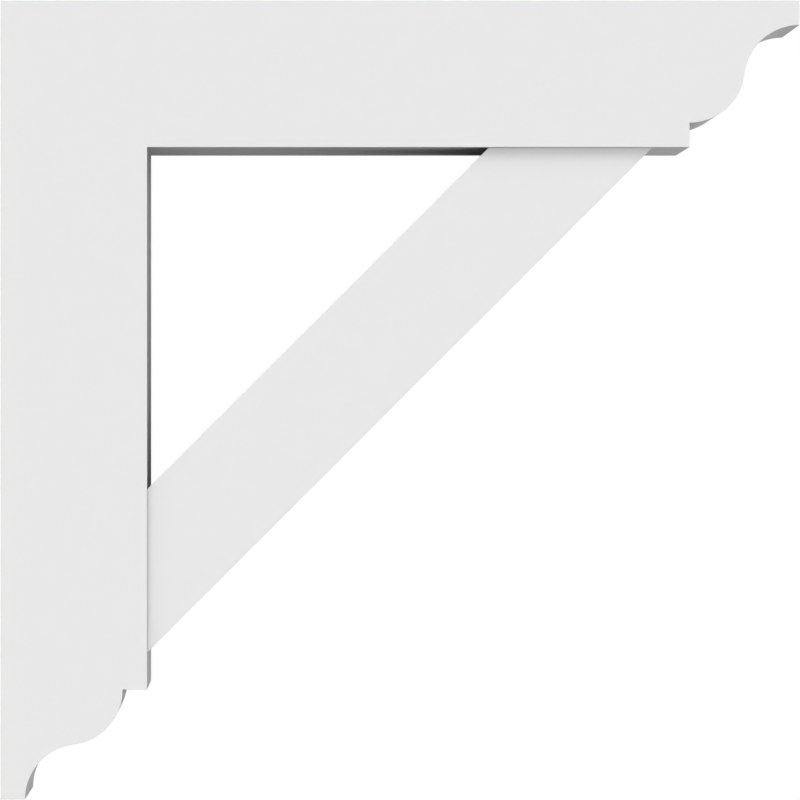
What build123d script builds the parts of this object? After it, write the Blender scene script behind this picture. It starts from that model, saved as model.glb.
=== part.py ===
from build123d import *
import os
from math import atan2, degrees, hypot, sin

# Eave bracket: a wall leg, a roof arm and a diagonal brace of solid stock, held by hidden screws.
# The wall is the plane x = 0 and the soffit is the plane z = 0. The bracket projects along +X,
# hangs down along -Z and is centred on y = 0. All sizes are in millimetres.

# Arm and leg: the same square stock with the same shaped tip
projection = 762.0  # from the wall to the tip of the arm
height = 762.0  # from the soffit to the tip of the leg
stock_face = 139.7  # depth of the stock in the side view
stock_thickness = 139.7  # width of the stock from front to back
nose_height = 23.3  # square end left at the very tip
shoulder_height = 23.3  # square step where the ogee begins
ogee_length = 104.8  # from the shoulder to the tip
arris_width = 1.0  # flat taken off the long edges

# Brace: its outer side lies in the plane through the two tips
brace_width = 110.5  # square to its length
brace_recess = 6.35  # how far its faces lie behind those of the arm and leg

# Structural screws: threaded only where they bite
screw_length = 200.0  # from under the flange to the point
thread_diameter = 8.0
thread_length = 68.0
shank_diameter = 6.0
point_length = 9.0
flange_diameter = 16.0
flange_height = 2.2
hex_across_flats = 9.5
hex_height = 5.0

# How the screws are set
counterbore_diameter = 21.0
counterbore_depth = 13.0
bore_clearance = 0.1  # all round the thread, and beyond the point
corner_screw_spacing = 72.0  # of the square of four screws over the leg
brace_screw_spacing = 58.0  # between the two screws of a brace joint

# The screws reach this far into the piece that they pull tight
bite = screw_length - (stock_face - counterbore_depth)


def timber_profile(length):
    """Side view of a timber of this length: its back end at the origin, its tip on +X."""
    ogee_drop = stock_face - nose_height - shoulder_height
    sweep = 2 * atan2(ogee_drop, ogee_length)
    ogee_radius = ogee_length / 2 / sin(sweep)
    top = Line((0, 0), (length, 0))
    nose = Line(top @ 1, (length, -nose_height))
    cove = JernArc(nose @ 1, (-1, 0), ogee_radius, degrees(sweep))
    ovolo = JernArc(cove @ 1, cove % 1, ogee_radius, -degrees(sweep))
    shoulder = Line(ovolo @ 1, (length - ogee_length, -stock_face))
    underside = Line(shoulder @ 1, (0, -stock_face))
    back_end = Line(underside @ 1, (0, 0))
    return make_face([top, nose, cove, ovolo, shoulder, underside, back_end])


def solid_from(profile, thickness):
    """The side view profile made solid, centred on y = 0."""
    return extrude(Plane.XZ * profile, amount=thickness / 2, both=True)


def turned_over(shape):
    """The shape turned over about the diagonal, so that what ran along +X hangs along -Z."""
    return shape.rotate(Axis((0, 0, 0), (1, 0, -1)), 180)


def face_outline(solid):
    """Edges that bound the front and back faces of a solid."""
    return solid.faces().filter_by(Axis.Y).edges()


def make_arm_and_leg():
    """The two timbers, eased together round their outline and parted where the leg meets the arm."""
    timbers = solid_from(timber_profile(projection), stock_thickness)
    timbers += turned_over(solid_from(timber_profile(height), stock_thickness))
    timbers = chamfer(face_outline(timbers), arris_width)
    meeting_plane = Plane.XY.offset(-stock_face)
    arm = split(timbers, meeting_plane, Keep.TOP)
    leg = split(timbers, meeting_plane, Keep.BOTTOM)
    return arm, leg


def brace_line_on_arm(inset, depth):
    """X of the brace line at this inset from its outer side, this far below the soffit."""
    diagonal = hypot(projection, height)
    return projection - (projection * depth + inset * diagonal) / height


def brace_line_on_leg(inset, reach):
    """Z of the brace line at this inset from its outer side, this far from the wall."""
    diagonal = hypot(projection, height)
    return -height + (height * reach + inset * diagonal) / projection


def make_brace():
    """The diagonal, cut to lie flat on the underside of the arm and the inner side of the leg."""
    upper_end = Line(
        (brace_line_on_arm(brace_width, stock_face), -stock_face),
        (brace_line_on_arm(0, stock_face), -stock_face),
    )
    outer_side = Line(upper_end @ 1, (stock_face, brace_line_on_leg(0, stock_face)))
    foot = Line(outer_side @ 1, (stock_face, brace_line_on_leg(brace_width, stock_face)))
    inner_side = Line(foot @ 1, upper_end @ 0)
    profile = make_face([upper_end, outer_side, foot, inner_side])
    brace = solid_from(profile, stock_thickness - 2 * brace_recess)
    run = Axis((0, 0, 0), (projection, 0, height))
    return chamfer(face_outline(brace).filter_by(run), arris_width)


def make_screw():
    """One screw pointing down, with the underside of its flange at z = 0."""
    outline = Polyline(
        (0, flange_height),
        (flange_diameter / 2, flange_height),
        (flange_diameter / 2, 0),
        (shank_diameter / 2, 0),
        (shank_diameter / 2, thread_length - screw_length),
        (thread_diameter / 2, thread_length - screw_length),
        (thread_diameter / 2, point_length - screw_length),
        (0, -screw_length),
        close=True,
    )
    body = revolve(Plane.XZ * make_face(outline), Axis.Z)
    hexagon = RegularPolygon(hex_across_flats / 2, 6, major_radius=False)
    return body + extrude(Pos(0, 0, flange_height) * hexagon, amount=hex_height)


def make_screw_bore():
    """What is cut away for one screw: a counterbore up past the face, and a close bore below."""
    bore_radius = thread_diameter / 2 + bore_clearance
    outline = Polyline(
        (0, 2 * counterbore_depth),
        (counterbore_diameter / 2, 2 * counterbore_depth),
        (counterbore_diameter / 2, 0),
        (bore_radius, 0),
        (bore_radius, point_length - screw_length),
        (0, -screw_length - bore_clearance),
        close=True,
    )
    return revolve(Plane.XZ * make_face(outline), Axis.Z)


def corner_screw_places():
    """Four screws down through the arm, in a square over the top of the leg."""
    middle = Pos(stock_face / 2, 0, -counterbore_depth)
    return [middle * spot for spot in GridLocations(corner_screw_spacing, corner_screw_spacing, 2, 2)]


def brace_head_screw_places():
    """Two screws down through the arm, with their bite in the middle of the brace."""
    x = brace_line_on_arm(brace_width / 2, stock_face + bite / 2)
    middle = Pos(x, 0, -counterbore_depth)
    return [middle * spot for spot in GridLocations(0, brace_screw_spacing, 1, 2)]


def brace_foot_screw_places():
    """Two screws through the leg from the wall side, with their bite in the middle of the brace."""
    z = brace_line_on_leg(brace_width / 2, stock_face + bite / 2)
    middle = Location((counterbore_depth, 0, z), (0, -90, 0))
    return [middle * spot for spot in GridLocations(0, brace_screw_spacing, 1, 2)]


def make_bracket():
    """Every piece by its node's name."""
    arm, leg = make_arm_and_leg()
    brace = make_brace()
    joints = {
        "corner_screws": corner_screw_places(),
        "brace_head_screws": brace_head_screw_places(),
        "brace_foot_screws": brace_foot_screw_places(),
    }
    bores = {name: [place * make_screw_bore() for place in places] for name, places in joints.items()}
    pieces = {
        "arm": arm - bores["corner_screws"] - bores["brace_head_screws"],
        "leg": leg - bores["corner_screws"] - bores["brace_foot_screws"],
        "brace": brace - bores["brace_head_screws"] - bores["brace_foot_screws"],
    }
    for name, places in joints.items():
        pieces[name] = Compound([place * make_screw() for place in places])
    return pieces


os.makedirs("parts", exist_ok=True)
for node, piece in make_bracket().items():
    export_step(piece, f"parts/{node}.step")
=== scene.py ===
"""The looks of an eave bracket of white cellular PVC.

A wall leg and a roof arm with ogee-cut tips, a diagonal brace between them, and the coated screws
that hold the joints. Lengths are in metres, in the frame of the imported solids: the wall is the
plane x = 0, the soffit is the plane z = 0, and the front of the bracket faces -Y.
"""

import logging
import math
from dataclasses import dataclass
from enum import Enum
from typing import Sequence

import bpy
from mathutils import Euler, Matrix, Vector


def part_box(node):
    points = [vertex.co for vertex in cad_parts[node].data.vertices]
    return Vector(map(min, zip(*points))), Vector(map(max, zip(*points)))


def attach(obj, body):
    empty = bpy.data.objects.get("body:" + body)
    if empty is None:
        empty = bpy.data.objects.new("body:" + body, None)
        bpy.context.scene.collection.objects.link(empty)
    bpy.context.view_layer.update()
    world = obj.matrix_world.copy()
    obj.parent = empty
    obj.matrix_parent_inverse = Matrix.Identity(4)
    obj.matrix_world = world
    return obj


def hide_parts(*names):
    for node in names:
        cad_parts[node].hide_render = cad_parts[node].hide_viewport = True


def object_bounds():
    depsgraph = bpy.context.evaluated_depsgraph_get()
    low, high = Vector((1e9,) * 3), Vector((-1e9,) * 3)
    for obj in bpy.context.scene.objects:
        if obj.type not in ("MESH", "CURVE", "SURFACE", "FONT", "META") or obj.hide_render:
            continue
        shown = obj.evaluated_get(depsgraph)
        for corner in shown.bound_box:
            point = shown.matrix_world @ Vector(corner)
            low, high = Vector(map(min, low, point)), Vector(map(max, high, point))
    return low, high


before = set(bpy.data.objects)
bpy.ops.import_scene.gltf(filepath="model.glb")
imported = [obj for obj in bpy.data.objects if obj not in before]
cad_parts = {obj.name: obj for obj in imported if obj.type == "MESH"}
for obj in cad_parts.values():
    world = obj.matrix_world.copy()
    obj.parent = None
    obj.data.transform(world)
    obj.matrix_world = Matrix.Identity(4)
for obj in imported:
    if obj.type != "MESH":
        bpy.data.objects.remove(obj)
cad_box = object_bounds()

MILLIMETRE = 0.001
TOUCH = 0.01 * MILLIMETRE  # points nearer than this are the same point
FACING = 0.9  # least part along Y of the unit normal of a front or back face
ALONG_AXIS = 0.9999  # least part along X or Z of the unit normal of a level or upright side
SLANTED = 0.1  # least product of the parts along X and Z on a slanting side
WHITE = (1.0, 1.0, 1.0, 1.0)

log = logging.getLogger("eave_bracket")

Socket = bpy.types.NodeSocket
Feed = float | int | bool | str | Vector | Euler | tuple | list | bpy.types.ID | Socket


class Slot(Enum):
    """The material slots of the record."""

    WHITE_PVC = "white_pvc"
    COATED_STEEL = "coated_steel"


class Keep(Enum):
    """Which side of the level where arm and leg meet is kept."""

    ABOVE = 1.0
    BELOW = -1.0


class Graph:
    """A node tree that is put together one node at a time."""

    def __init__(self, tree: bpy.types.NodeTree) -> None:
        """Start with an empty tree.

        Args:
            tree: The tree to fill.
        """
        self.tree = tree
        tree.nodes.clear()

    def add(
        self, kind: str, feeds: dict[str | int, Feed] | None = None, **settings: object
    ) -> bpy.types.Node:
        """Add one node.

        Args:
            kind: The type name of the node.
            feeds: A value, another node's output or a list of outputs for each named or numbered input.
            settings: Options of the node.

        Returns:
            The new node.
        """
        node = self.tree.nodes.new(kind)
        for name, setting in settings.items():
            setattr(node, name, setting)
        for key, feed in (feeds or {}).items():
            if isinstance(feed, Socket):
                self.tree.links.new(feed, node.inputs[key])
            elif isinstance(feed, list):
                for one in reversed(feed):  # the newest link of an input comes first in it
                    self.tree.links.new(one, node.inputs[key])
            else:
                node.inputs[key].default_value = feed
        return node

    def math(self, operation: str, *feeds: Feed) -> Socket:
        """One step of arithmetic.

        Args:
            operation: The name of the operation.
            feeds: Its operands in order.

        Returns:
            The result.
        """
        return self.add("ShaderNodeMath", dict(enumerate(feeds)), operation=operation).outputs[0]

    def xyz(self, x: Feed = 0.0, y: Feed = 0.0, z: Feed = 0.0) -> Socket:
        """A vector from its three parts.

        Args:
            x: First part.
            y: Second part.
            z: Third part.

        Returns:
            The vector.
        """
        return self.add("ShaderNodeCombineXYZ", {"X": x, "Y": y, "Z": z}).outputs[0]

    def parts(self, vector: Socket) -> tuple[Socket, Socket, Socket]:
        """The three parts of a vector."""
        split = self.add("ShaderNodeSeparateXYZ", {"Vector": vector})
        return split.outputs["X"], split.outputs["Y"], split.outputs["Z"]

    def blend(self, share: Feed, first: Feed, second: Feed) -> Socket:
        """A colour between two.

        Args:
            share: 0 for the first colour, 1 for the second.
            first: A colour.
            second: Another colour.

        Returns:
            The blended colour.
        """
        # A Mix node has sockets of the same name for each type: numbers 6, 7 and 2 are those of colours.
        return self.add("ShaderNodeMix", {0: share, 6: first, 7: second}, data_type="RGBA").outputs[2]


class ShapeGraph(Graph):
    """A Geometry Nodes tree with named sizes, run once as a modifier."""

    KINDS = {
        int: "NodeSocketInt",
        float: "NodeSocketFloat",
        Vector: "NodeSocketVector",
        Euler: "NodeSocketRotation",
        bpy.types.Object: "NodeSocketObject",
        bpy.types.Material: "NodeSocketMaterial",
    }

    def __init__(self, name: str) -> None:
        """Start a tree that takes a shape and gives one.

        Args:
            name: What the tree is called.
        """
        super().__init__(bpy.data.node_groups.new(name, "GeometryNodeTree"))
        for way in ("INPUT", "OUTPUT"):
            self.tree.interface.new_socket("Shape", in_out=way, socket_type="NodeSocketGeometry")
        self.entry = self.add("NodeGroupInput")
        self.given = self.entry.outputs["Shape"]
        self.values: dict[str, Feed] = {}

    def size(self, name: str, value: Feed) -> Socket:
        """Give the tree a named input.

        Args:
            name: The input's name.
            value: What the modifier sets it to.

        Returns:
            The input, to be linked inside the tree.
        """
        kind = self.KINDS[type(value)]
        socket = self.tree.interface.new_socket(name, in_out="INPUT", socket_type=kind)
        self.values[socket.identifier] = value
        return self.entry.outputs[name]

    def moved(self, shape: Socket, place: Feed, turn: Feed = Euler()) -> Socket:
        """A shape turned about the origin and then moved.

        Args:
            shape: What is moved.
            place: Where its origin goes.
            turn: How it is turned first.

        Returns:
            The moved shape.
        """
        feeds = {"Geometry": shape, "Translation": place, "Rotation": turn}
        return self.add("GeometryNodeTransform", feeds).outputs["Geometry"]

    def joined(self, *shapes: Socket) -> Socket:
        """Several shapes as one, in the order in which they are given."""
        return self.add("GeometryNodeJoinGeometry", {"Geometry": list(shapes)}).outputs["Geometry"]

    def marked(self, shape: Socket, name: str, domain: str, value: Feed, kind: str = "FLOAT") -> Socket:
        """A shape with a named attribute.

        Args:
            shape: What gets the attribute.
            name: The attribute's name.
            domain: What it is stored on, such as FACE or EDGE.
            value: Its value there.
            kind: The type of the value.

        Returns:
            The shape with the attribute.
        """
        feeds = {"Geometry": shape, "Name": name, "Value": value}
        node = self.add("GeometryNodeStoreNamedAttribute", feeds, data_type=kind, domain=domain)
        return node.outputs["Geometry"]

    def finish(self, shape: Socket, material: bpy.types.Material) -> None:
        """End the tree with real geometry in its material.

        Args:
            shape: The finished shape.
            material: What it is made of.
        """
        real = self.add("GeometryNodeRealizeInstances", {"Geometry": shape})
        dressed = self.add(
            "GeometryNodeSetMaterial",
            {"Geometry": real.outputs["Geometry"], "Material": self.size("Material", material)},
        )
        self.add("NodeGroupOutput", {"Shape": dressed.outputs["Geometry"]})

    def attach(self, host: bpy.types.Object) -> None:
        """Put the tree on an object as a modifier, with its sizes set.

        Args:
            host: The object, not evaluated yet.
        """
        modifier = host.modifiers.new(self.tree.name, "NODES")
        modifier.node_group = self.tree
        for identifier, value in self.values.items():
            modifier[identifier] = value


def placed_object(name: str, data: bpy.types.ID | None) -> bpy.types.Object:
    """Make an object and link it to the scene.

    Args:
        name: What it is called.
        data: Its mesh, lamp or camera.

    Returns:
        The object, at the origin.
    """
    thing = bpy.data.objects.new(name, data)
    bpy.context.scene.collection.objects.link(thing)
    return thing


def plain_piece(host: bpy.types.Object, name: str) -> bpy.types.Object:
    """Turn what a host's modifiers show into a plain object, and remove the host.

    Args:
        host: The object whose modifiers make the shape.
        name: What the plain object is called.

    Returns:
        An object at the origin with the shape as its own mesh and no modifier.
    """
    depsgraph = bpy.context.evaluated_depsgraph_get()
    evaluated = host.evaluated_get(depsgraph)
    mesh = bpy.data.meshes.new_from_object(evaluated, preserve_all_data_layers=True, depsgraph=depsgraph)
    mesh.name = name
    bpy.data.objects.remove(host)
    return placed_object(name, mesh)


def turned_body(name: str, outline: Sequence[tuple[float, float]], sides: int) -> bpy.types.Object:
    """A body turned round the Z axis.

    Args:
        name: What it is called.
        outline: Radius and height of each ring, from the lower pole to the upper one.
        sides: How many sides each ring has.

    Returns:
        A closed body.
    """
    lower, *rings, upper = outline
    spots = [(0.0, 0.0, lower[1]), (0.0, 0.0, upper[1])]
    for radius, height in rings:
        for side in range(sides):
            angle = math.tau * side / sides
            spots.append((radius * math.cos(angle), radius * math.sin(angle), height))
    faces = []
    last = len(rings) - 1
    for side in range(sides):
        here, there = 2 + side, 2 + (side + 1) % sides
        faces.append((0, there, here))
        faces.append((1, here + last * sides, there + last * sides))
        for ring in range(last):
            below, above = ring * sides, (ring + 1) * sides
            faces.append((here + below, there + below, there + above, here + above))
    mesh = bpy.data.meshes.new(name)
    mesh.from_pydata(spots, [], faces)
    return placed_object(name, mesh)


@dataclass(frozen=True)
class PvcFinish:
    """White cellular PVC: a matte moulded skin, and a slightly rougher face wherever it was cut."""

    pale: float = 0.806
    dull: float = 0.790
    warmth: float = 0.002
    cloud_size: float = 18 * MILLIMETRE
    grain_size: float = 0.9 * MILLIMETRE
    wave_size: float = 60 * MILLIMETRE
    skin_roughness: float = 0.7
    cut_roughness: float = 0.8
    specular: float = 0.0
    grain_height: float = 0.012 * MILLIMETRE
    wave_height: float = 0.12 * MILLIMETRE
    cutter_step: float = 1.6 * MILLIMETRE
    cutter_reach: float = 45 * MILLIMETRE
    cutter_height: float = 0.035 * MILLIMETRE

    def material(self) -> bpy.types.Material:
        """Build the node material.

        Returns:
            The material.
        """
        material = bpy.data.materials.new(Slot.WHITE_PVC.value)
        material.use_nodes = True
        graph = Graph(material.node_tree)
        spot = graph.add("ShaderNodeTexCoord").outputs["Object"]
        skin = graph.add("ShaderNodeAttribute", attribute_name="skin").outputs["Fac"]

        clouds = self.noise(graph, spot, self.cloud_size, detail=4.0)
        finish = {"Value": skin, "To Min": self.cut_roughness, "To Max": self.skin_roughness}
        roughness = graph.add("ShaderNodeMapRange", finish)
        surface = graph.add(
            "ShaderNodeBsdfPrincipled",
            {
                "Base Color": graph.blend(clouds, self.shade(self.dull), self.shade(self.pale)),
                "Roughness": roughness.outputs["Result"],
                "Specular IOR Level": self.specular,
                "Normal": self.relief(graph, spot, skin),
            },
        )
        graph.add("ShaderNodeOutputMaterial", {"Surface": surface.outputs["BSDF"]})
        return material

    def shade(self, level: float) -> tuple[float, float, float, float]:
        """A near-white of this level, very slightly warm."""
        return (level, level, level - self.warmth, 1.0)

    def noise(self, graph: Graph, spot: Socket, size: float, detail: float) -> Socket:
        """Noise from 0 to 1 whose patches are of this size.

        Args:
            graph: The material's tree.
            spot: Where it is read.
            size: How large a patch is.
            detail: How many finer layers it has.

        Returns:
            The noise.
        """
        feeds = {"Vector": spot, "Scale": 1 / size, "Detail": detail}
        return graph.add("ShaderNodeTexNoise", feeds).outputs[0]

    def relief(self, graph: Graph, spot: Socket, skin: Socket) -> Socket:
        """Fine grain and slow waves all over, and cutter marks across the thickness where it was cut.

        Args:
            graph: The material's tree.
            spot: Where the patterns are read.
            skin: 1 on the moulded skin and 0 where it was cut.

        Returns:
            The bumped normal.
        """
        grain = self.noise(graph, spot, self.grain_size, detail=2.0)
        waves = self.noise(graph, spot, self.wave_size, detail=1.0)
        stretch = Vector((1, self.cutter_step / self.cutter_reach, 1))
        along_y = graph.add("ShaderNodeMapping", {"Vector": spot, "Scale": stretch})
        marks = self.noise(graph, along_y.outputs["Vector"], self.cutter_step, detail=1.0)
        cut = graph.math("SUBTRACT", 1.0, skin)
        height = graph.math("MULTIPLY", graph.math("MULTIPLY", marks, cut), self.cutter_height)
        height = graph.math("MULTIPLY_ADD", grain, self.grain_height, height)
        height = graph.math("MULTIPLY_ADD", waves, self.wave_height, height)
        bump = graph.add("ShaderNodeBump", {"Height": height, "Distance": 1.0, "Strength": 1.0})
        return bump.outputs["Normal"]


@dataclass(frozen=True)
class CoatedSteelFinish:
    """Screws with a thin dull grey coat over zinc."""

    light: tuple[float, float, float, float] = (0.33, 0.34, 0.33, 1.0)
    dark: tuple[float, float, float, float] = (0.22, 0.23, 0.225, 1.0)
    speckle_size: float = 0.8 * MILLIMETRE
    metallic: float = 0.75
    roughness: float = 0.42

    def material(self) -> bpy.types.Material:
        """Build the node material.

        Returns:
            The material.
        """
        material = bpy.data.materials.new(Slot.COATED_STEEL.value)
        material.use_nodes = True
        graph = Graph(material.node_tree)
        spot = graph.add("ShaderNodeTexCoord").outputs["Object"]
        feeds = {"Vector": spot, "Scale": 1 / self.speckle_size, "Detail": 3.0}
        speckle = graph.add("ShaderNodeTexNoise", feeds)
        colour = graph.blend(speckle.outputs[0], self.dark, self.light)
        surface = graph.add(
            "ShaderNodeBsdfPrincipled",
            {"Base Color": colour, "Metallic": self.metallic, "Roughness": self.roughness},
        )
        graph.add("ShaderNodeOutputMaterial", {"Surface": surface.outputs["BSDF"]})
        return material


@dataclass(frozen=True)
class ScrewPattern:
    """Where the screws of one joint stand: columns side by side, rows along the world's Y axis."""

    node: str
    columns: int
    rows: int
    step: float
    up: Vector
    head_height: float

    @property
    def turn(self) -> Euler:
        """The turn that points the heads up out of the joint and keeps the rows along Y."""
        along = Vector((0, 1, 0))
        return Matrix((along.cross(self.up), along, self.up)).transposed().to_euler()

    @property
    def seat(self) -> Vector:
        """The middle of the plane in which the flanges sit, found from the box of the solids.

        Returns:
            The point.
        """
        low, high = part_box(self.node)
        reach = abs(self.up.dot(high - low)) / 2
        return (low + high) / 2 + self.up * (reach - self.head_height)

    def instances(self, graph: ShapeGraph, screw: Socket) -> Socket:
        """Stand a copy of a shape at each screw's place.

        Args:
            graph: The tree in which they stand.
            screw: The shape, with its seat at the origin and its head along +Z.

        Returns:
            The copies.
        """
        columns = graph.size(f"{self.node} columns", self.columns)
        rows = graph.size(f"{self.node} rows", self.rows)
        step = graph.size(f"{self.node} step", self.step)
        index = graph.add("GeometryNodeInputIndex").outputs["Index"]
        column = graph.math("FLOORED_MODULO", index, columns)
        row = graph.math("FLOOR", graph.math("DIVIDE", index, columns))
        place = graph.xyz(self.offset(graph, column, columns, step), self.offset(graph, row, rows, step))
        count = graph.math("MULTIPLY", columns, rows)
        spots = graph.add("GeometryNodePoints", {"Count": count, "Position": place})
        stood = graph.add("GeometryNodeInstanceOnPoints", {"Points": spots.outputs[0], "Instance": screw})
        seat = graph.size(f"{self.node} seat", self.seat)
        turn = graph.size(f"{self.node} turn", self.turn)
        return graph.moved(stood.outputs["Instances"], seat, turn)

    @staticmethod
    def offset(graph: ShapeGraph, number: Feed, count: Feed, step: Feed) -> Socket:
        """How far a numbered line lies from the middle of its set."""
        middle = graph.math("DIVIDE", graph.math("SUBTRACT", count, 1.0), 2.0)
        return graph.math("MULTIPLY", graph.math("SUBTRACT", number, middle), step)


@dataclass
class Screw:
    """A structural screw: hex head on a round flange, plain shank and a coarse thread.

    The crown and the dish of the head are shares of its size across flats, or of its height.
    """

    length: float = 200 * MILLIMETRE
    thread_diameter: float = 8 * MILLIMETRE
    thread_length: float = 68 * MILLIMETRE
    root_diameter: float = 5.4 * MILLIMETRE
    thread_pitch: float = 5 * MILLIMETRE
    thread_base: float = 2.2 * MILLIMETRE
    shank_diameter: float = 6 * MILLIMETRE
    point_length: float = 9 * MILLIMETRE
    flange_diameter: float = 16 * MILLIMETRE
    flange_height: float = 2.2 * MILLIMETRE
    hex_across_flats: float = 9.5 * MILLIMETRE
    hex_height: float = 5 * MILLIMETRE
    counterbore_diameter: float = 21 * MILLIMETRE
    counterbore_depth: float = 13 * MILLIMETRE
    bore_clearance: float = 0.1 * MILLIMETRE
    point_share: float = 0.12  # of the core's radius, at the very point
    flange_top_share: float = 0.66  # of the flange's radius, level on its top
    thread_steps: int = 24  # round each turn
    thread_start: float = 0.14  # of the run, over which the thread rises at the point
    thread_end: float = 0.03  # of the run, over which it falls below the shank
    thread_least: float = 0.05  # of its depth, at both ends
    crest_share: float = 0.06  # half the crest's width, of the base's
    root_share: float = 0.2  # of its depth, sunk into the core
    crown_radius: float = 0.47
    dish_top_radius: float = 0.34
    dish_floor_radius: float = 0.22
    dish_depth: float = 0.4
    dish_middle: float = 0.82
    sharp_angle: float = 30.0
    sides: int = 48

    @property
    def head_height(self) -> float:
        """From the seat to the top of the head."""
        return self.flange_height + self.hex_height

    def body(self) -> bpy.types.Object:
        """The turned part: point, core, shank and flange.

        Returns:
            The body of one screw.
        """
        root, shank, flange = self.root_diameter / 2, self.shank_diameter / 2, self.flange_diameter / 2
        thread_top = self.thread_length - self.length
        rim = self.flange_height / 4
        outline = [
            (0.0, -self.length),
            (root * self.point_share, -self.length + rim),
            (root, self.point_length - self.length),
            (root, thread_top - rim),
            (shank, thread_top),
            (shank, -2 * rim),
            (shank + rim, 0.0),
            (flange - rim / 2, 0.0),
            (flange, rim / 2),
            (flange, self.flange_height - 2 * rim),
            (flange - rim, self.flange_height - rim / 2),
            (flange * self.flange_top_share, self.flange_height),
            (0.0, self.flange_height),
        ]
        return turned_body("screw_body", outline, self.sides)

    def bore(self) -> bpy.types.Object:
        """What is cut away for one screw: a counterbore up past the face, and a close bore below.

        Returns:
            The body that is cut away.
        """
        bore = self.thread_diameter / 2 + self.bore_clearance
        counterbore = self.counterbore_diameter / 2
        outline = [
            (0.0, -self.length - self.bore_clearance),
            (bore, self.point_length - self.length),
            (bore, 0.0),
            (counterbore, 0.0),
            (counterbore, 2 * self.counterbore_depth),
            (0.0, 2 * self.counterbore_depth),
        ]
        return turned_body("screw_bore", outline, self.sides)

    def thread(self, graph: ShapeGraph) -> Socket:
        """A coarse thread along the helix, running out at both ends.

        Args:
            graph: The tree of the screw.

        Returns:
            The thread's ridge.
        """
        run = self.thread_length - self.point_length / 3
        turns = run / self.thread_pitch
        root = self.root_diameter / 2
        crest = self.thread_diameter / 2 - root
        helix = graph.add(
            "GeometryNodeCurveSpiral",
            {
                "Resolution": self.thread_steps,
                "Rotations": graph.size("Thread turns", turns),
                "Start Radius": root,
                "End Radius": root,
                "Height": graph.size("Thread run", run),
            },
        )
        helix = graph.add("GeometryNodeSetCurveNormal", {"Curve": helix.outputs["Curve"]}, mode="Z_UP")
        share = graph.add("GeometryNodeSplineParameter").outputs["Factor"]
        tip = graph.math("DIVIDE", share, self.thread_start)
        tail = graph.math("DIVIDE", graph.math("SUBTRACT", 1.0, share), self.thread_end)
        size = graph.math("MINIMUM", graph.math("MINIMUM", tip, tail), 1.0)
        size = graph.math("MAXIMUM", size, self.thread_least)
        helix = graph.add("GeometryNodeSetCurveRadius", {"Curve": helix.outputs["Curve"], "Radius": size})
        ridge = graph.add(
            "GeometryNodeCurvePrimitiveQuadrilateral",
            {
                "Point 1": Vector((-self.root_share * crest, -self.thread_base / 2, 0)),
                "Point 2": Vector((crest, -self.crest_share * self.thread_base, 0)),
                "Point 3": Vector((crest, self.crest_share * self.thread_base, 0)),
                "Point 4": Vector((-self.root_share * crest, self.thread_base / 2, 0)),
            },
            mode="POINTS",
        )
        swept = graph.add(
            "GeometryNodeCurveToMesh",
            {
                "Curve": helix.outputs["Curve"],
                "Profile Curve": ridge.outputs["Curve"],
                "Scale": size,
                "Fill Caps": True,
            },
        )
        return graph.moved(swept.outputs["Mesh"], Vector((0, 0, -self.length + self.point_length / 3)))

    def head(self, graph: ShapeGraph) -> Socket:
        """A hex head with its corners chamfered and a shallow dish in its top.

        Args:
            graph: The tree of the screw.

        Returns:
            The head, standing on the flange.
        """
        flats = graph.size("Head across flats", self.hex_across_flats)
        height = graph.size("Head height", self.hex_height)
        prism = graph.add(
            "GeometryNodeMeshCylinder",
            {"Vertices": 6, "Radius": graph.math("DIVIDE", flats, math.sqrt(3)), "Depth": height},
        )
        prism = graph.moved(prism.outputs["Mesh"], graph.xyz(0, 0, graph.math("DIVIDE", height, 2.0)))
        top_radius = graph.math("MULTIPLY", flats, self.crown_radius)
        spread = graph.math("MULTIPLY", height, math.sqrt(3))
        chamfer = graph.add(
            "GeometryNodeMeshCone",
            {
                "Vertices": self.sides,
                "Radius Top": top_radius,
                "Radius Bottom": graph.math("ADD", top_radius, spread),
                "Depth": height,
            },
        )
        crown = graph.add(
            "GeometryNodeMeshBoolean",
            {"Mesh 2": [prism, chamfer.outputs["Mesh"]]},
            operation="INTERSECT",
            solver="EXACT",
        )
        dish = graph.add(
            "GeometryNodeMeshCone",
            {
                "Vertices": self.sides,
                "Radius Top": graph.math("MULTIPLY", flats, self.dish_top_radius),
                "Radius Bottom": graph.math("MULTIPLY", flats, self.dish_floor_radius),
                "Depth": graph.math("MULTIPLY", height, self.dish_depth),
            },
        )
        middle = graph.math("MULTIPLY", height, self.dish_middle)
        dish = graph.moved(dish.outputs["Mesh"], graph.xyz(0, 0, middle))
        dished = graph.add(
            "GeometryNodeMeshBoolean",
            {"Mesh 1": crown.outputs["Mesh"], "Mesh 2": dish},
            operation="DIFFERENCE",
            solver="EXACT",
        )
        return graph.moved(dished.outputs["Mesh"], Vector((0, 0, self.flange_height)))

    def build(self, name: str, pattern: ScrewPattern, material: bpy.types.Material) -> bpy.types.Object:
        """Make all the screws of one joint as one piece.

        Args:
            name: What the piece is called.
            pattern: Where they stand.
            material: Their finish.

        Returns:
            The dressed piece.
        """
        graph = ShapeGraph(name)
        body = self.body()
        source = graph.add("GeometryNodeObjectInfo", {"Object": graph.size("Body", body)})
        screw = graph.joined(source.outputs["Geometry"], self.thread(graph), self.head(graph))
        graph.finish(pattern.instances(graph, screw), material)
        host = placed_object(name + "_host", bpy.data.meshes.new(name + "_host"))
        graph.attach(host)
        piece = plain_piece(host, name)
        piece.data.shade_smooth()
        piece.data.set_sharp_from_angle(angle=math.radians(self.sharp_angle))
        bpy.data.objects.remove(body)
        return dress(piece, pattern.node)


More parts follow.
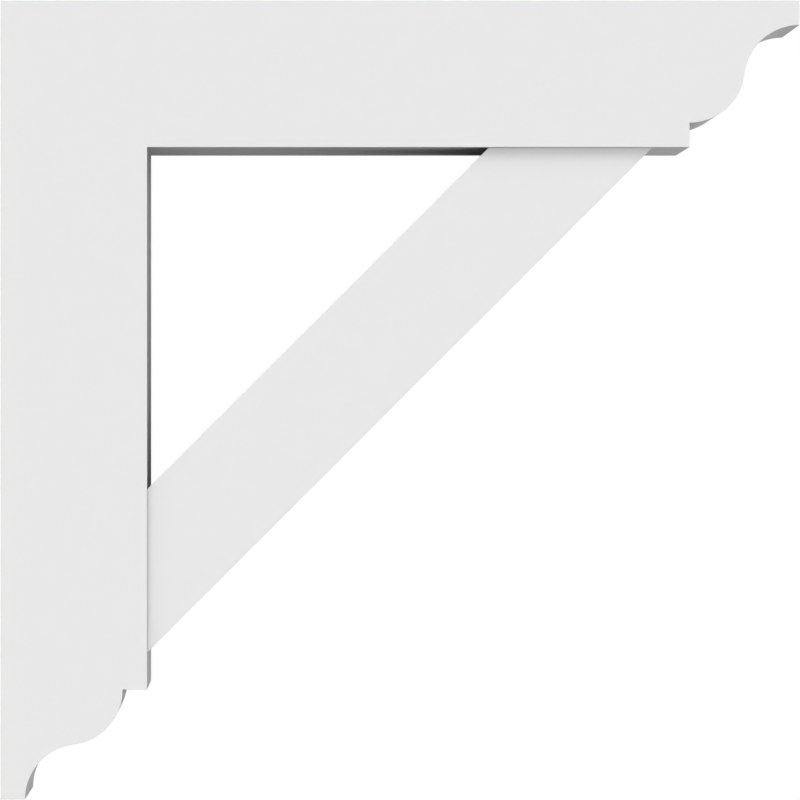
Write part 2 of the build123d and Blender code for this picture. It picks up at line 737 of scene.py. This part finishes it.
def dress(piece: bpy.types.Object, node: str) -> bpy.types.Object:
    """Hang a finished piece on the root body, hide the solid that it stands for, and log it.

    Args:
        piece: The piece.
        node: The solid that it replaces.

    Returns:
        The piece.
    """
    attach(piece, "root")
    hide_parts(node)
    log.info("%s: %d faces, replaces %s", piece.name, len(piece.data.polygons), node)
    return piece


@dataclass
class Board:
    """PVC stock that is sawn to an outline in the side view, eased, and then fitted and drilled.

    The outline is drawn with X along the world's X axis and Y along the world's Z axis.
    """

    node: str
    thickness: float
    joint: float
    patterns: list[ScrewPattern]
    arris: float = 0.3 * MILLIMETRE
    arris_steps: int = 3
    sharp_angle: float = 40.0

    def outline(self, graph: ShapeGraph) -> Socket:
        """The side view as one flat face."""
        raise NotImplementedError

    def long_side(self, graph: ShapeGraph, x: Socket, z: Socket) -> Socket:
        """1 for a face that runs the length of the stock, by its normal, else 0."""
        raise NotImplementedError

    def on_joint(self, graph: ShapeGraph, x: Socket, z: Socket) -> Feed:
        """1 for an edge that lies against another timber and stays sharp, else 0."""
        return 0.0

    def off_cuts(self, graph: ShapeGraph) -> list[Socket]:
        """What is sawn off after the edges are eased."""
        return []

    def sawn(self, graph: ShapeGraph) -> Socket:
        """Give the outline its thickness, centred on y = 0.

        Args:
            graph: The tree of the sawn stock.

        Returns:
            The closed shape, with its moulded skin and its eased edges marked.
        """
        face = self.outline(graph)
        thickness = graph.size("Thickness", self.thickness)
        raised = graph.add(
            "GeometryNodeExtrudeMesh",
            {"Mesh": face, "Offset": Vector((0, 0, 1)), "Offset Scale": thickness, "Individual": False},
            mode="FACES",
        )
        bottom = graph.add("GeometryNodeFlipFaces", {"Mesh": face})
        both = graph.joined(raised.outputs["Mesh"], bottom.outputs["Mesh"])
        closed = graph.add("GeometryNodeMergeByDistance", {"Geometry": both, "Distance": TOUCH})
        middle = graph.xyz(0, graph.math("DIVIDE", thickness, 2.0), 0)
        upright = graph.moved(closed.outputs["Geometry"], middle, Euler((math.pi / 2, 0, 0)))
        return self.eased(graph, self.skinned(graph, upright), thickness)

    def skinned(self, graph: ShapeGraph, board: Socket) -> Socket:
        """Mark the faces that keep the moulded skin of the stock.

        Args:
            graph: The tree of the sawn stock.
            board: The closed shape.

        Returns:
            The shape with its faces marked.
        """
        normal = graph.add("GeometryNodeInputNormal").outputs["Normal"]
        x, y, z = graph.parts(normal)
        front = graph.math("GREATER_THAN", graph.math("ABSOLUTE", y), FACING)
        skin = graph.math("MAXIMUM", front, self.long_side(graph, x, z))
        return graph.marked(board, "skin", "FACE", skin)

    def eased(self, graph: ShapeGraph, board: Socket, thickness: Socket) -> Socket:
        """Mark the edges of the front and back faces, except those in a joint.

        Args:
            graph: The tree of the sawn stock.
            board: The closed shape.
            thickness: The distance between its front and back faces.

        Returns:
            The shape with its edges marked.
        """
        x, y, z = graph.parts(graph.add("GeometryNodeInputPosition").outputs["Position"])
        half = graph.math("DIVIDE", thickness, 2.0)
        rim = graph.math("COMPARE", graph.math("ABSOLUTE", y), half, TOUCH)
        free = graph.math("SUBTRACT", 1.0, self.on_joint(graph, x, z))
        weight = graph.math("MULTIPLY", rim, free)
        return graph.marked(board, "bevel_weight_edge", "EDGE", weight)

    def fitted(self, graph: ShapeGraph, bore: bpy.types.Object) -> Socket:
        """Saw off what isn't part of this timber, and drill it.

        Args:
            graph: The tree of the fitted timber.
            bore: What is cut away for one screw.

        Returns:
            The finished timber, with its corners marked as sharp.
        """
        source = graph.add("GeometryNodeObjectInfo", {"Object": graph.size("Bore", bore)})
        bores = [pattern.instances(graph, source.outputs["Geometry"]) for pattern in self.patterns]
        real = graph.add("GeometryNodeRealizeInstances", {"Geometry": graph.joined(*bores)})
        cut = graph.add(
            "GeometryNodeMeshBoolean",
            {"Mesh 1": graph.given, "Mesh 2": [real.outputs["Geometry"], *self.off_cuts(graph)]},
            operation="DIFFERENCE",
            solver="EXACT",
        )
        angle = graph.add("GeometryNodeInputMeshEdgeAngle").outputs["Unsigned Angle"]
        corner = graph.math("GREATER_THAN", angle, math.radians(self.sharp_angle))
        return graph.marked(cut.outputs["Mesh"], "sharp_edge", "EDGE", corner, kind="BOOLEAN")

    def build(self, name: str, bore: bpy.types.Object, material: bpy.types.Material) -> bpy.types.Object:
        """Make the timber as a plain piece.

        Args:
            name: What the piece is called.
            bore: What is cut away for one screw.
            material: Its finish.

        Returns:
            The dressed piece.
        """
        host = placed_object(name + "_host", bpy.data.meshes.new(name + "_host"))
        sawn = ShapeGraph(name + "_sawn")
        sawn.finish(self.sawn(sawn), material)
        sawn.attach(host)
        bevel = host.modifiers.new("arris", "BEVEL")
        bevel.limit_method = "WEIGHT"
        bevel.width = self.arris
        bevel.segments = self.arris_steps
        fitted = ShapeGraph(name + "_fitted")
        fitted.finish(self.fitted(fitted, bore), material)
        fitted.attach(host)
        weighted = host.modifiers.new("normals", "WEIGHTED_NORMAL")
        weighted.keep_sharp = True
        return dress(plain_piece(host, name), self.node)


@dataclass
class OgeeTimber(Board):
    """The arm or the leg, sawn from square stock.

    Both tips end in a square nose, a cove, an ovolo and a square shoulder. Arm and leg are sawn and
    eased as one outline, and parted at the level where the leg meets the arm.
    """

    projection: float = 1.0
    height: float = 1.0
    keep: Keep = Keep.ABOVE
    nose: float = 23.3 * MILLIMETRE
    shoulder: float = 23.3 * MILLIMETRE
    ogee_length: float = 104.8 * MILLIMETRE
    arc_points: int = 48

    def outline(self, graph: ShapeGraph) -> Socket:
        """The side view of arm and leg together.

        Args:
            graph: The tree of the sawn stock.

        Returns:
            The flat face.
        """
        projection = graph.size("Projection", self.projection)
        height = graph.size("Height", self.height)
        depth = graph.size("Depth", self.joint)
        ogee = graph.size("Ogee length", self.ogee_length)
        tip = self.tip(graph, depth, ogee)
        across = self.underside(graph, tip, projection, depth, ogee)
        down = self.underside(graph, tip, height, depth, ogee)
        turned_over = Matrix.Rotation(math.pi, 3, Vector((1, -1, 0))).to_euler()
        down = graph.moved(down, Vector(), graph.size("Turned over", turned_over))
        back_up = graph.add("GeometryNodeReverseCurve", {"Curve": down}).outputs["Curve"]
        foot = graph.xyz(0, graph.math("MULTIPLY", height, -1.0))
        runs = [
            self.line(graph, Vector(), graph.xyz(projection)),
            across,
            back_up,
            self.line(graph, foot, Vector()),
        ]
        spline = {"Geometry": self.one_spline(graph, runs), "Cyclic": True}
        loop = graph.add("GeometryNodeSetSplineCyclic", spline)
        face = graph.add("GeometryNodeFillCurve", {"Curve": loop.outputs["Geometry"]}, mode="NGONS")
        return face.outputs["Mesh"]

    def tip(self, graph: ShapeGraph, depth: Socket, ogee: Socket) -> list[Socket]:
        """The runs of a tip whose top corner is the origin: nose, cove, ovolo and shoulder.

        Args:
            graph: The tree of the sawn stock.
            depth: How deep the stock is.
            ogee: How far the ogee reaches back.

        Returns:
            The runs in order.
        """
        nose = graph.size("Nose", self.nose)
        shoulder = graph.size("Shoulder", self.shoulder)
        points = graph.size("Arc points", self.arc_points)
        drop = graph.math("SUBTRACT", graph.math("SUBTRACT", depth, nose), shoulder)
        sweep = graph.math("MULTIPLY", graph.math("ARCTAN2", drop, ogee), 2.0)
        radius = graph.math("DIVIDE", graph.math("DIVIDE", ogee, 2.0), graph.math("SINE", sweep))
        back = graph.math("MULTIPLY", ogee, -1.0)
        bottom = graph.math("MULTIPLY", depth, -1.0)
        step = graph.math("ADD", bottom, shoulder)
        nose_end = graph.xyz(0, graph.math("MULTIPLY", nose, -1.0))
        cove_middle = graph.xyz(0, graph.math("MULTIPLY", graph.math("ADD", nose, radius), -1.0))
        ovolo_middle = graph.xyz(back, graph.math("ADD", step, radius))
        quarter = math.pi / 2
        cove = self.arc(graph, points, radius, quarter, sweep)
        ovolo_start = graph.math("SUBTRACT", sweep, quarter)
        ovolo = self.arc(graph, points, radius, ovolo_start, graph.math("MULTIPLY", sweep, -1.0))
        return [
            self.line(graph, Vector(), nose_end),
            graph.moved(cove, cove_middle),
            graph.moved(ovolo, ovolo_middle),
            self.line(graph, graph.xyz(back, step), graph.xyz(back, bottom)),
        ]

    def underside(
        self, graph: ShapeGraph, tip: list[Socket], length: Socket, depth: Socket, ogee: Socket
    ) -> Socket:
        """The tip of a timber and its underside, as far as the inner corner of the bracket.

        Args:
            graph: The tree of the sawn stock.
            tip: The runs of a tip.
            length: How long the timber is.
            depth: How deep it is.
            ogee: How far the ogee reaches back.

        Returns:
            One spline.
        """
        bottom = graph.math("MULTIPLY", depth, -1.0)
        shoulder = graph.xyz(graph.math("SUBTRACT", length, ogee), bottom)
        at_tip = graph.moved(graph.joined(*tip), graph.xyz(length))
        return self.one_spline(graph, [at_tip, self.line(graph, shoulder, graph.xyz(depth, bottom))])

    @staticmethod
    def one_spline(graph: ShapeGraph, runs: list[Socket]) -> Socket:
        """Several runs, end to end, as one spline with no doubled points.

        Args:
            graph: The tree of the sawn stock.
            runs: The runs in order.

        Returns:
            The spline.
        """
        dots = graph.add("GeometryNodeCurveToPoints", {"Curve": graph.joined(*runs)}, mode="EVALUATED")
        single = graph.add("GeometryNodeMergeByDistance", {"Geometry": dots.outputs[0], "Distance": TOUCH})
        return graph.add("GeometryNodePointsToCurves", {"Points": single.outputs[0]}).outputs["Curves"]

    @staticmethod
    def line(graph: ShapeGraph, start: Feed, end: Feed) -> Socket:
        """A straight run of the outline."""
        return graph.add("GeometryNodeCurvePrimitiveLine", {"Start": start, "End": end}).outputs["Curve"]

    @staticmethod
    def arc(graph: ShapeGraph, points: Feed, radius: Feed, start: Feed, sweep: Feed) -> Socket:
        """A round run of the outline, about the origin."""
        feeds = {"Resolution": points, "Radius": radius, "Start Angle": start, "Sweep Angle": sweep}
        return graph.add("GeometryNodeCurveArc", feeds, mode="RADIUS").outputs["Curve"]

    def off_cuts(self, graph: ShapeGraph) -> list[Socket]:
        """The part of the outline on the far side of the level where arm and leg meet.

        Args:
            graph: The tree of the fitted timber.

        Returns:
            One block that holds it.
        """
        side = graph.size("Off-cut side", 2 * (self.projection + self.height))
        block = graph.add("GeometryNodeMeshCube", {"Size": graph.xyz(side, side, side)}).outputs["Mesh"]
        level = graph.size("Meeting level", -self.joint)
        reach = graph.math("MULTIPLY", side, -0.5 * self.keep.value)
        return [graph.moved(block, graph.xyz(0, 0, graph.math("ADD", level, reach)))]

    def long_side(self, graph: ShapeGraph, x: Socket, z: Socket) -> Socket:
        """1 for the top and underside of the arm and the two sides of the leg.

        Args:
            graph: The tree of the sawn stock.
            x: The part of the face's normal along X.
            z: Its part along Z.

        Returns:
            1 or 0 for each face.
        """
        along = graph.math("MAXIMUM", graph.math("ABSOLUTE", x), graph.math("ABSOLUTE", z))
        spot_x, _, spot_z = graph.parts(graph.add("GeometryNodeInputPosition").outputs["Position"])
        reach = graph.math("SUBTRACT", spot_x, spot_z)
        clear_of_tip = graph.math("LESS_THAN", reach, min(self.projection, self.height) + self.joint / 2)
        return graph.math("MULTIPLY", graph.math("GREATER_THAN", along, ALONG_AXIS), clear_of_tip)


@dataclass
class Brace(Board):
    """The diagonal: a straight board whose outer side lies in the plane through the two tips."""

    projection: float = 1.0
    height: float = 1.0
    width: float = 110.5 * MILLIMETRE

    def on_arm(self, inset: float) -> Vector:
        """The point at this inset from the outer side, on the underside of the arm."""
        reach = self.joint + inset * math.hypot(self.projection, self.height) / self.projection
        return Vector((self.projection - self.projection * reach / self.height, -self.joint, 0))

    def on_leg(self, inset: float) -> Vector:
        """The point at this inset from the outer side, on the inner side of the leg."""
        reach = self.joint + inset * math.hypot(self.projection, self.height) / self.height
        return Vector((self.joint, self.height * reach / self.projection - self.height, 0))

    def outline(self, graph: ShapeGraph) -> Socket:
        """The side view of the brace.

        Args:
            graph: The tree of the sawn stock.

        Returns:
            The flat face.
        """
        corners = {
            "Point 1": graph.size("Outer head", self.on_arm(0)),
            "Point 2": graph.size("Inner head", self.on_arm(self.width)),
            "Point 3": graph.size("Inner foot", self.on_leg(self.width)),
            "Point 4": graph.size("Outer foot", self.on_leg(0)),
        }
        loop = graph.add("GeometryNodeCurvePrimitiveQuadrilateral", corners, mode="POINTS")
        face = graph.add("GeometryNodeFillCurve", {"Curve": loop.outputs["Curve"]}, mode="NGONS")
        return face.outputs["Mesh"]

    def on_joint(self, graph: ShapeGraph, x: Socket, z: Socket) -> Feed:
        """1 at the head and at the foot."""
        head = graph.math("COMPARE", z, -self.joint, TOUCH)
        return graph.math("MAXIMUM", head, graph.math("COMPARE", x, self.joint, TOUCH))

    def long_side(self, graph: ShapeGraph, x: Socket, z: Socket) -> Socket:
        """1 for the two slanting sides."""
        return graph.math("GREATER_THAN", graph.math("ABSOLUTE", graph.math("MULTIPLY", x, z)), SLANTED)


@dataclass
class Bracket:
    """The whole bracket, sized from the frame."""

    pvc: PvcFinish
    steel: CoatedSteelFinish
    screw: Screw
    corner_step: float = 72 * MILLIMETRE
    brace_step: float = 58 * MILLIMETRE

    def build(self) -> None:
        """Make and dress every piece."""
        arm_low, arm_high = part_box("arm")
        leg_low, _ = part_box("leg")
        brace_low, brace_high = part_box("brace")
        stock = arm_high.z - arm_low.z
        thickness = arm_high.y - arm_low.y
        up, to_wall, head_height = Vector((0, 0, 1)), Vector((-1, 0, 0)), self.screw.head_height
        corner = ScrewPattern("corner_screws", 2, 2, self.corner_step, up, head_height)
        head = ScrewPattern("brace_head_screws", 1, 2, self.brace_step, up, head_height)
        foot = ScrewPattern("brace_foot_screws", 1, 2, self.brace_step, to_wall, head_height)

        size = {"projection": arm_high.x, "height": -leg_low.z}
        arm = OgeeTimber("arm", thickness, stock, [corner, head], keep=Keep.ABOVE, **size)
        leg = OgeeTimber("leg", thickness, stock, [corner, foot], keep=Keep.BELOW, **size)
        brace = Brace("brace", brace_high.y - brace_low.y, stock, [head, foot], **size)
        white = self.pvc.material()
        bore = self.screw.bore()
        for board, name in ((arm, "roof_arm"), (leg, "wall_leg"), (brace, "diagonal_brace")):
            board.build(name, bore, white)
        bpy.data.objects.remove(bore)

        coated = self.steel.material()
        sets = ((corner, "corner_screw_set"), (head, "head_screw_set"), (foot, "foot_screw_set"))
        for pattern, name in sets:
            self.screw.build(name, pattern, coated)


@dataclass(frozen=True)
class Lamp:
    """A broad soft lamp, far away, whose light counts where it first falls."""

    name: str
    comes_from: Vector
    share: float
    softness: float

    def hang(self) -> None:
        """Put the lamp in the scene, with its share of the light on a surface that squarely faces it."""
        data = bpy.data.lights.new(self.name, "SUN")
        data.energy = math.pi * self.share
        data.angle = math.radians(self.softness)
        # In the photograph no face brightens another, so no light goes on from where it first falls.
        data.cycles.max_bounces = 0
        data.cycles.use_multiple_importance_sampling = False
        lamp = placed_object(self.name, data)
        lamp.rotation_euler = self.comes_from.to_track_quat("Z", "Y").to_euler()
        log.info("%s: share %.2f", self.name, self.share)


@dataclass
class Studio:
    """A plain white studio, with the camera where the photograph was taken from.

    The edges of the bracket and the vanishing point are in the photograph's pixels.
    """

    photo_width: float = 800.0
    left_edge: float = 0.61
    top_edge: float = 0.61
    right_edge: float = 799.4
    vanishing_x: float = 271.5
    vanishing_y: float = 407.0
    distance_in_thicknesses: float = 29.0
    sensor: float = 36.0
    view_reach: float = 100.0
    light_above: float = 0.276
    light_below: float = 0.125
    light_blend: float = 0.3
    light_depth: float = 2.5  # rays of a greater depth bring no light
    floor_level: float = -1.6
    floor_reach: float = 4.5
    floor_white: float = 0.9
    floor_lift: float = 0.27

    def camera(self) -> None:
        """Stand the camera square to the front face, as far off as the photograph's depth shows."""
        low, high = cad_box
        scale = (self.right_edge - self.left_edge) / (high.x - low.x)
        distance = self.distance_in_thicknesses * (high.y - low.y)
        data = bpy.data.cameras.new("camera")
        data.sensor_width = self.sensor
        data.lens = self.sensor * scale * distance / self.photo_width
        data.shift_x = (self.photo_width / 2 - self.vanishing_x) / self.photo_width
        data.shift_y = (self.vanishing_y - self.photo_width / 2) / self.photo_width
        data.clip_end = self.view_reach
        camera = placed_object("camera", data)
        camera.location = (
            low.x + (self.vanishing_x - self.left_edge) / scale,
            low.y - distance,
            high.z - (self.vanishing_y - self.top_edge) / scale,
        )
        camera.rotation_euler = (math.pi / 2, 0, 0)
        bpy.context.scene.camera = camera
        log.info("camera: %.1f mm lens, %.3f m from the front face", data.lens, distance)

    def lamps(self) -> None:
        """Hang the four lamps of the photograph, and one behind for the faces that it hides."""
        for lamp in (
            Lamp("front_lamp", Vector((0, -1, 0)), 0.281, 20),
            Lamp("high_lamp", Vector((0, -0.47, 0.88)), 0.45, 34),
            Lamp("low_right_lamp", Vector((0.96, -0.6, -1.06)), 0.383, 130),
            Lamp("high_left_lamp", Vector((-1, -1, 0.8)), 0.203, 90),
            Lamp("back_lamp", Vector((-0.55, 0.75, 0.35)), 0.75, 30),
        ):
            lamp.hang()

    def seen(self, graph: Graph) -> Socket:
        """1 for rays that show the background to the eye: direct, mirrored or through glass.

        Args:
            graph: The tree that asks.

        Returns:
            1 or 0.
        """
        path = graph.add("ShaderNodeLightPath")
        mirrored = graph.math("MAXIMUM", path.outputs["Is Glossy Ray"], path.outputs["Is Transmission Ray"])
        return graph.math("MAXIMUM", path.outputs["Is Camera Ray"], mirrored)

    def surroundings(self) -> None:
        """Soft light from all round, more of it from above, behind a white backdrop."""
        world = bpy.data.worlds.new("studio")
        bpy.context.scene.world = world
        world.use_nodes = True
        graph = Graph(world.node_tree)
        _, _, rise = graph.parts(graph.add("ShaderNodeTexCoord").outputs["Generated"])
        dome = {"From Min": -self.light_blend, "From Max": self.light_blend}
        dome |= {"To Min": self.light_below, "To Max": self.light_above, "Value": rise}
        graded = graph.add("ShaderNodeMapRange", dome, interpolation_type="SMOOTHSTEP")
        depth = graph.add("ShaderNodeLightPath").outputs["Ray Depth"]
        first_fall = graph.math("LESS_THAN", depth, self.light_depth)
        strength = graph.math("MULTIPLY", graded.outputs["Result"], first_fall)
        light = graph.add("ShaderNodeBackground", {"Color": WHITE, "Strength": strength})
        white = graph.add("ShaderNodeBackground", {"Color": WHITE, "Strength": 1.0})
        choice = {0: self.seen(graph), 1: light.outputs[0], 2: white.outputs[0]}
        mixed = graph.add("ShaderNodeMixShader", choice)
        graph.add("ShaderNodeOutputWorld", {"Surface": mixed.outputs[0]})
        world.cycles.max_bounces = 0

    def floor(self) -> None:
        """A plain pale floor that takes the bracket's shadow, sends no light up and is clear from below."""
        reach, level = self.floor_reach, self.floor_level
        mesh = bpy.data.meshes.new("floor")
        square = ((-reach, -reach), (reach, -reach), (reach, reach), (-reach, reach))
        mesh.from_pydata([(x, y, level) for x, y in square], [], [(0, 1, 2, 3)])
        material = bpy.data.materials.new("floor")
        material.use_nodes = True
        graph = Graph(material.node_tree)
        pale = self.floor_white
        white = graph.add("ShaderNodeBsdfDiffuse", {"Color": (pale, pale, pale, 1)})
        strength = graph.math("MULTIPLY", self.seen(graph), self.floor_lift)
        lift = graph.add("ShaderNodeEmission", {"Color": WHITE, "Strength": strength})
        lifted = graph.add("ShaderNodeAddShader", {0: white.outputs[0], 1: lift.outputs[0]})
        from_below = graph.add("ShaderNodeNewGeometry").outputs["Backfacing"]
        clear = graph.add("ShaderNodeBsdfTransparent", {"Color": WHITE})
        choice = {0: from_below, 1: lifted.outputs[0], 2: clear.outputs[0]}
        one_sided = graph.add("ShaderNodeMixShader", choice)
        graph.add("ShaderNodeOutputMaterial", {"Surface": one_sided.outputs[0]})
        material.cycles.emission_sampling = "NONE"
        mesh.materials.append(material)
        floor = placed_object("floor", mesh)
        floor.visible_diffuse = False
        floor.visible_shadow = False

    def build(self) -> None:
        """Set up the camera, the lamps, the backdrop and the floor."""
        self.camera()
        self.lamps()
        self.surroundings()
        self.floor()
        bpy.context.scene.view_settings.view_transform = "Standard"


def main() -> None:
    """Build the bracket and the studio."""
    logging.basicConfig(level=logging.INFO, format="%(name)s: %(message)s")
    Bracket(PvcFinish(), CoatedSteelFinish(), Screw()).build()
    Studio().build()


if __name__ == "__main__":
    main()
